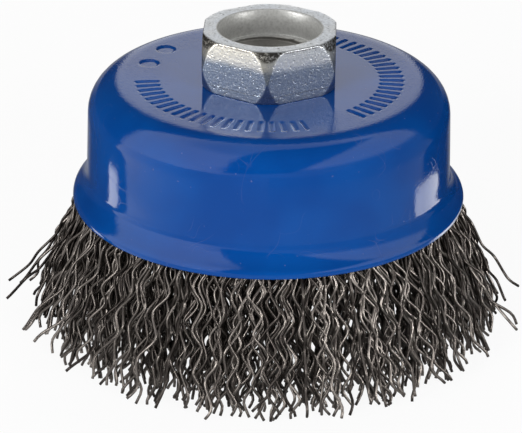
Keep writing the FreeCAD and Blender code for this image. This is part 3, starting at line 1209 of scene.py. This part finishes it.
@dataclass
class Floor:
    """The pale floor, which keeps the brush's shadow.

    A gloss sees white cards and dark cloths laid on it round the brush. Their places are degrees off the
    camera's side of the axis, and distances from the axis.
    """

    turn: float
    size: float = 6000.0
    white: float = 0.92
    shade: float = 0.90
    near_paper: float = 0.30
    side_paper: float = 0.45
    back_paper: float = 0.25
    cloth_start: tuple[float, float] = (81.5, 93.0)
    cloth_end: tuple[float, float] = (128.0, 145.0)
    left_card: tuple[float, float] = (90.2, 99.6)
    card_reach: tuple[float, float] = (73.5, 103.0)
    right_card: tuple[float, float] = (90.5, 87.0)
    right_card_half: tuple[float, float] = (24.0, 10.5)
    card_light: float = 2.8

    def build(self) -> None:
        """Lays the floor."""
        half = self.size / 2 * MM
        mesh = bpy.data.meshes.new("floor")
        corners = [(-half, -half, 0), (half, -half, 0), (half, half, 0), (-half, half, 0)]
        mesh.from_pydata(corners, [], [(0, 1, 2, 3)])
        piece = bpy.data.objects.new("floor", mesh)
        bpy.context.scene.collection.objects.link(piece)
        material, graph = new_material("pale_floor")
        camera = graph.node(Node.LIGHT_PATH, out="Is Camera Ray")
        glossy = graph.node(Node.LIGHT_PATH, out="Is Glossy Ray")
        colour = (self.shade, self.shade, self.shade, 1)
        plain = graph.node(Node.PRINCIPLED, sockets={"Base Color": colour, "Roughness": 0.9})
        white = graph.node(Node.EMISSION, sockets={"Color": WHITE, "Strength": 1.0})
        seen = graph.mixed(camera * self.white, plain, white)
        mirrored = graph.glow(Node.EMISSION, self.mirrored(graph))
        graph.finish(Node.MATERIAL_OUTPUT, graph.mixed(glossy, seen, mirrored))
        mesh.materials.append(material)

    def mirrored(self, graph: Graph) -> Signal:
        """How bright the floor looks in a gloss."""
        x, y, _ = graph.parts(graph.place())
        away = (x * x + y * y) ** 0.5
        azimuth = graph.node(Node.MATHS, {"operation": "ARCTAN2"}, {0: x, 1: y * -1}) * DEGREES
        aside = azimuth - self.turn
        on_left, on_right = aside.ramp(0.5, -0.5), aside.ramp(-0.5, 0.5)
        off = abs(aside) - (away.at_most(160.0) - 86.0) * 0.235
        left_cloth, right_cloth = (off.ramp(edge - 1.2, edge + 1.2) for edge in self.cloth_start)
        cloth = left_cloth * on_left + right_cloth * on_right
        paper = self.paper(away, off * on_left, on_right) * (1 - cloth * 0.95)
        behind = off.ramp(*self.cloth_end) * self.back_paper
        cards = self.left_card_share(away, off) * on_left
        cards = cards + self.right_card_share(away, off) * on_right * 0.85
        return paper + behind + cards * self.card_light

    def paper(self, away: Signal, off_left: Signal, on_right: Signal) -> Signal:
        """Brightness of the floor itself, which the window side lights.

        Args:
            away: Distance from the axis.
            off_left: Degrees off the camera's side, on the left only.
            on_right: 1 on the right.

        Returns:
            The brightness.
        """
        lit = off_left.ramp(22.0, 100.0)
        paper = self.near_paper + lit * self.side_paper
        paper = paper + off_left.ramp(54.0, 74.0) * away.ramp(104.0, 94.0) * 0.2
        paper = paper + away.ramp(103.0, 122.0) * lit * 0.4
        return paper * (1 - away.ramp(104.0, 140.0) * (1 - lit) * (0.15 + on_right * 0.3))

    def left_card_share(self, away: Signal, off: Signal) -> Signal:
        """1 on the upright oblong card on the left."""
        return off.within(*self.left_card, 0.7) * away.within(*self.card_reach, 1.0)

    def right_card_share(self, away: Signal, off: Signal) -> Signal:
        """1 on the round card on the right, which is cut off straight on its near side."""
        across, middle = self.right_card
        half_across, half_along = self.right_card_half
        disc = ((off - across) / half_across) ** 2.0 + ((away - middle) / half_along) ** 2.0
        return disc.ramp(1.08, 0.92) * off.ramp(across - 4.5, across - 3.0)


@dataclass
class Room:
    """The surround: even light, which the camera sees as white.

    A gloss sees a panel overhead, a white backdrop at the back and the dark side where the camera stands.
    """

    turn: float
    even_light: float = 0.34
    faint_light: float = 0.03
    panel_light: float = 1.0
    panel_back: tuple[float, float] = (-0.24, -0.14)
    dark_from: float = 0.20
    backdrop_top: tuple[float, float] = (0.48, 0.44)
    backdrop_side: tuple[float, float] = (-0.978, -0.989)

    def build(self) -> None:
        """Sets up the world."""
        world = bpy.data.worlds.new("white_surround")
        bpy.context.scene.world = world
        world.use_nodes = True
        graph = Graph(world.node_tree)
        camera = graph.node(Node.LIGHT_PATH, out="Is Camera Ray")
        glossy = graph.node(Node.LIGHT_PATH, out="Is Glossy Ray")
        through = graph.node(Node.LIGHT_PATH, out="Is Transmission Ray")
        white = graph.node(Node.BACKGROUND, sockets={"Color": WHITE, "Strength": 1.0})
        even = graph.node(Node.BACKGROUND, sockets={"Color": WHITE, "Strength": self.even_light})
        mirrored = graph.glow(Node.BACKGROUND, self.mirrored(graph))
        unseen = graph.mixed(glossy, even, mirrored)
        graph.finish(Node.WORLD_OUTPUT, graph.mixed(camera + through, unseen, white))

    def mirrored(self, graph: Graph) -> Signal:
        """How bright the room looks in a gloss."""
        x, y, z = graph.parts(graph.node(Node.PLACE, out="Generated"))
        turn = math.radians(self.turn)
        ahead = x * math.sin(turn) - y * math.cos(turn)
        aside = x * math.cos(turn) + y * math.sin(turn)
        front = ahead / ((x * x + y * y) ** 0.5 + 0.001)
        reach = front + aside.ramp(0.0, 0.9) * 0.14 + z * z * z * z * 1.2
        overhead = reach.ramp(*self.panel_back)
        dimmer_right = 1 - aside.ramp(0.25, 0.8) * (0.2 + z.ramp(0.5, 0.1) * 0.3)
        dimmer_top = 1 - z.ramp(0.84, 0.98) * 0.45
        dimmer_low = 1 - z.ramp(0.46, 0.26) * aside.ramp(-0.75, -0.15) * 0.75
        lit = 1 - self.dark_side(ahead, aside, z) * 0.97
        panel = self.panel_light * dimmer_right * dimmer_top * dimmer_low * lit * overhead
        backdrop = z.ramp(*self.backdrop_top) * front.ramp(*self.backdrop_side)
        return panel + backdrop + self.faint_light

    def dark_side(self, ahead: Signal, aside: Signal, z: Signal) -> Signal:
        """1 in the dark behind the camera, between its slanted left, right and lower edges."""
        left_edge = (aside + ahead * 0.50).ramp(-0.05, 0.03)
        right_edge = (ahead * 0.10 + z * 0.53 - aside * 0.834).ramp(-0.05, 0.05)
        lower_edge = (z - aside * 0.2).ramp(self.dark_from - 0.07, self.dark_from + 0.05)
        return left_edge * right_edge * lower_edge * (ahead + aside * 0.6).ramp(-0.10, 0.02)


class Lit(enum.Enum):
    """What a lamp lights, by the start of the pieces' names."""

    ALL = ""
    WIRES = "crimped_wires"
    NUT = "plated_arbor_nut"


@dataclass(frozen=True)
class Lamp:
    """A square soft lamp. One that lights only some of the pieces gives them a glint and no other light.

    Attributes:
        name: Its name.
        place: Its place, in metres.
        size: Its side, in metres.
        watts: Its power.
        target_z: Height of the point on the axis that it faces, in metres.
        lit: What it lights.
    """

    name: str
    place: tuple[float, float, float]
    size: float
    watts: float
    target_z: float = 0.02
    lit: Lit = Lit.ALL

    def hang(self, collections: Mapping[Lit, bpy.types.Collection]) -> None:
        """Hangs the lamp, given the pieces of each kind."""
        data = bpy.data.lights.new(self.name, "AREA")
        data.size = self.size
        data.energy = self.watts
        piece = bpy.data.objects.new(self.name, data)
        bpy.context.scene.collection.objects.link(piece)
        piece.visible_glossy = self.lit is not Lit.ALL
        piece.visible_diffuse = self.lit is Lit.ALL
        if self.lit is not Lit.ALL:
            piece.light_linking.receiver_collection = collections[self.lit]
        piece.location = self.place
        way = Vector((0, 0, self.target_z)) - Vector(self.place)
        piece.rotation_euler = way.to_track_quat("-Z", "Y").to_euler()


LAMPS = (
    Lamp("key", (-0.55, -0.75, 0.34), 0.4, 7.0),
    Lamp("fill", (0.6, -0.7, 0.30), 0.4, 4.5),
    Lamp("back", (0.05, 0.7, 0.6), 0.6, 2.0, target_z=0.03),
    Lamp("left_glint", (-0.40, -0.78, 0.36), 0.26, 3.6, lit=Lit.WIRES),
    Lamp("right_glint", (0.72, -0.46, 0.22), 0.28, 4.0, lit=Lit.WIRES),
    Lamp("left_nut_glint", (-0.43, -0.26, 0.08), 0.13, 1.4, target_z=0.05, lit=Lit.NUT),
    Lamp("right_nut_glint", (0.43, -0.26, 0.08), 0.13, 1.0, target_z=0.05, lit=Lit.NUT),
)


@dataclass
class Camera:
    """The camera, at the photograph's angle. Its place and target are given before the turn."""

    turn: float
    place: tuple[float, float, float] = (-1.22, -334.39, 178.84)
    target: tuple[float, float, float] = (-1.22, 0.0, 17.03)
    roll: float = 0.51
    lens: float = 146.73
    sensor: float = 36.0

    def build(self) -> None:
        """Sets up the camera."""
        data = bpy.data.cameras.new("camera")
        data.sensor_width = self.sensor
        data.lens = self.lens
        piece = bpy.data.objects.new("camera", data)
        bpy.context.scene.collection.objects.link(piece)
        turn = Matrix.Rotation(math.radians(self.turn), 4, "Z")
        place, target = (turn @ (Vector(point) * MM) for point in (self.place, self.target))
        aim = (target - place).to_track_quat("-Z", "Y").to_matrix().to_4x4()
        roll = Matrix.Rotation(math.radians(self.roll), 4, "Z")
        piece.matrix_world = Matrix.Translation(place) @ aim @ roll
        bpy.context.scene.camera = piece


@dataclass
class Studio:
    """A pale floor, a white surround, soft lamps and the camera, all turned together round the axis."""

    turn: float = 1.9

    def hang_lamps(self) -> None:
        """Hangs the lamps, with the pieces that take only glints in collections of their own."""
        collections = {
            lit: bpy.data.collections.new(f"glinting_{lit.name.lower()}") for lit in (Lit.WIRES, Lit.NUT)
        }
        for piece in bpy.context.scene.objects:
            for lit, collection in collections.items():
                if piece.name.startswith(lit.value):
                    collection.objects.link(piece)
        for lamp in LAMPS:
            lamp.hang(collections)

    def build(self) -> None:
        """Sets up the whole studio."""
        Floor(self.turn).build()
        Room(self.turn).build()
        self.hang_lamps()
        Camera(self.turn).build()
        bpy.context.scene.view_settings.view_transform = "Standard"


def main() -> None:
    """Loads the frame and builds each piece of the brush on it."""
    logging.basicConfig(level=logging.INFO, format="%(message)s")
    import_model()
    cup = PressedCup.from_frame()
    cup.build(BlueEnamel(rim_z=cup.rim_z, top_z=cup.top_z).make())
    nut = ArborNut.from_frame()
    nut.build(ZincPlate(top_z=nut.top_z, recess_depth=nut.recess_depth).make())
    steel = PlainSteel().make()
    RetainingCup.from_frame().build(steel)
    ring = HoldingRing.from_frame()
    ring.build(steel)
    trim = WireTrim(ring=ring, rim_z=cup.rim_z, lip_inner_r=cup.lip_r - cup.wall, wall_inner_r=cup.inner_r)
    trim.build(CrimpedWire().make())
    Studio().build()


if __name__ == "__main__":
    main()
